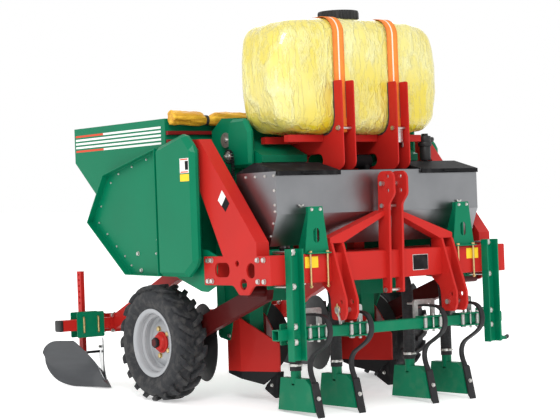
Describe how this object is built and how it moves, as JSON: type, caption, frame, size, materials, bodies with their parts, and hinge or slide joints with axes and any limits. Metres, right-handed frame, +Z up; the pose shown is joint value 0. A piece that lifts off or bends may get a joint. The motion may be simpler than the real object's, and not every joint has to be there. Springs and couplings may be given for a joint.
{
  "type": "two-row seed tuber planter",
  "caption": "Mounted planter with rear hopper, cup elevators, fertiliser box, strapped spray tank, spring tines, wheels and ridging bodies.",
  "frame": {"origin": "below the middle of the machine's length and width, at the level of its tine points", "axes": "+X to the right as seen from the hitch side, +Y from the hitch back to the ridgers, +Z up"},
  "size_m": [2.148, 2.2674, 2.29],
  "materials": {
    "green_paint": "satin",
    "red_paint": "satin",
    "stainless": "satin",
    "zinc": "plated",
    "gold_zinc": "plated",
    "dark_steel": "rough",
    "spring_steel": "rough",
    "black_steel": "satin",
    "tyre": "matt",
    "rim_silver": "satin",
    "tank_plastic": "translucent moulded",
    "black_plastic": "matt",
    "hose_rubber": "matt",
    "belt_rubber": "matt",
    "strap_webbing": "woven",
    "tarp_fabric": "woven"
  },
  "bodies": {
    "frame": {"front_beam": "red_paint", "rear_beam": "red_paint", "side_plates": "red_paint", "frame_flaps": "green_paint", "side_beams": "red_paint", "mast_plates": "red_paint", "mast_braces": "red_paint", "hitch_plates": "red_paint", "channels": "green_paint", "clamp_plates": "green_paint", "toolbar": "green_paint", "spring_tines": "spring_steel", "tine_points": "dark_steel", "tine_arches": "zinc", "tine_clamps": "green_paint", "fert_boots": "green_paint", "drop_hoses": "hose_rubber", "fert_box": "stainless", "fert_roof": "black_steel", "fert_brackets": "green_paint", "tank": "tank_plastic", "tank_straps": "strap_webbing", "cradle_plates": "red_paint", "cradle_frame": "red_paint", "pump": "black_steel", "elevator_casings": "green_paint", "cup_belts": "belt_rubber", "seed_hopper": "green_paint", "tarp_roll": "tarp_fabric", "side_covers": "green_paint", "wheel_arms": "red_paint", "furrow_openers": "red_paint", "opener_shares": "black_steel", "opener_hangers": "green_paint", "disc_arms": "green_paint", "rear_bar": "red_paint", "rear_arms": "red_paint", "ridger_clamps": "green_paint", "frame_bolts": "zinc", "clamp_bolts": "gold_zinc"},
    "top_pin": {"top_link_pin": "zinc"},
    "lower_pin_left": {"lower_link_pin_left": "zinc"},
    "lower_pin_right": {"lower_link_pin_right": "zinc"},
    "metering": {"metering_shaft": "zinc"},
    "lid_left": {"fert_lid_left": "black_steel"},
    "lid_right": {"fert_lid_right": "black_steel"},
    "cap": {"tank_lid": "black_plastic"},
    "elevator_drive": {"elevator_shaft": "zinc"},
    "wheel_left": {"tyre_left": "tyre", "rim_left": "rim_silver"},
    "wheel_right": {"tyre_right": "tyre", "rim_right": "rim_silver"},
    "disc_1": {"covering_disc_1": "dark_steel"},
    "disc_2": {"covering_disc_2": "dark_steel"},
    "disc_3": {"covering_disc_3": "dark_steel"},
    "disc_4": {"covering_disc_4": "dark_steel"},
    "ridging_left": {"ridger_post_left": "red_paint", "ridger_left": "dark_steel"},
    "ridging_right": {"ridger_post_right": "red_paint", "ridger_right": "dark_steel"}
  },
  "joints": [
    {"name": "wheel_left_spin", "type": "hinge", "parent": "frame", "child": "wheel_left", "pos_m": [-0.853, 0.0825, 0.397], "axis": [1, 0, 0], "continuous": true},
    {"name": "wheel_right_spin", "type": "hinge", "parent": "frame", "child": "wheel_right", "pos_m": [0.853, 0.0825, 0.397], "axis": [1, 0, 0], "continuous": true},
    {"name": "metering_spin", "type": "hinge", "parent": "frame", "child": "metering", "pos_m": [0, -0.7515, 1.019], "axis": [1, 0, 0], "continuous": true},
    {"name": "elevator_spin", "type": "hinge", "parent": "frame", "child": "elevator_drive", "pos_m": [0, -0.2775, 1.559], "axis": [1, 0, 0], "continuous": true},
    {"name": "disc_1_spin", "type": "hinge", "parent": "frame", "child": "disc_1", "pos_m": [-0.628, -0.0175, 0.382], "axis": [0.9659, -0.2588, 0], "continuous": true},
    {"name": "disc_2_spin", "type": "hinge", "parent": "frame", "child": "disc_2", "pos_m": [-0.224, -0.0175, 0.382], "axis": [0.9659, 0.2588, 0], "continuous": true},
    {"name": "disc_3_spin", "type": "hinge", "parent": "frame", "child": "disc_3", "pos_m": [0.224, -0.0175, 0.382], "axis": [0.9659, -0.2588, 0], "continuous": true},
    {"name": "disc_4_spin", "type": "hinge", "parent": "frame", "child": "disc_4", "pos_m": [0.628, -0.0175, 0.382], "axis": [0.9659, 0.2588, 0], "continuous": true},
    {"name": "lid_left_hinge", "type": "hinge", "parent": "frame", "child": "lid_left", "pos_m": [0, -0.7455, 1.409], "axis": [-1, 0, 0], "range_deg": [0, 45]},
    {"name": "lid_right_hinge", "type": "hinge", "parent": "frame", "child": "lid_right", "pos_m": [0, -0.7455, 1.409], "axis": [-1, 0, 0], "range_deg": [0, 45]},
    {"name": "cap_lift", "type": "slide", "parent": "frame", "child": "cap", "axis": [0, 0, 1], "range_m": [0, 0.08]},
    {"name": "top_pin_pull", "type": "slide", "parent": "frame", "child": "top_pin", "axis": [1, 0, 0], "range_m": [0, 0.12]},
    {"name": "lower_pin_left_pull", "type": "slide", "parent": "frame", "child": "lower_pin_left", "axis": [-1, 0, 0], "range_m": [0, 0.08]},
    {"name": "lower_pin_right_pull", "type": "slide", "parent": "frame", "child": "lower_pin_right", "axis": [1, 0, 0], "range_m": [0, 0.08]},
    {"name": "ridger_left_height", "type": "slide", "parent": "frame", "child": "ridging_left", "axis": [0, 0, 1], "range_m": [-0.072, 0.024]},
    {"name": "ridger_right_height", "type": "slide", "parent": "frame", "child": "ridging_right", "axis": [0, 0, 1], "range_m": [-0.072, 0.024]}
  ],
  "couplings": [
    {"joint": "metering_spin", "follows": "wheel_left_spin", "ratio": 0.5},
    {"joint": "elevator_spin", "follows": "wheel_left_spin", "ratio": 3}
  ]
}
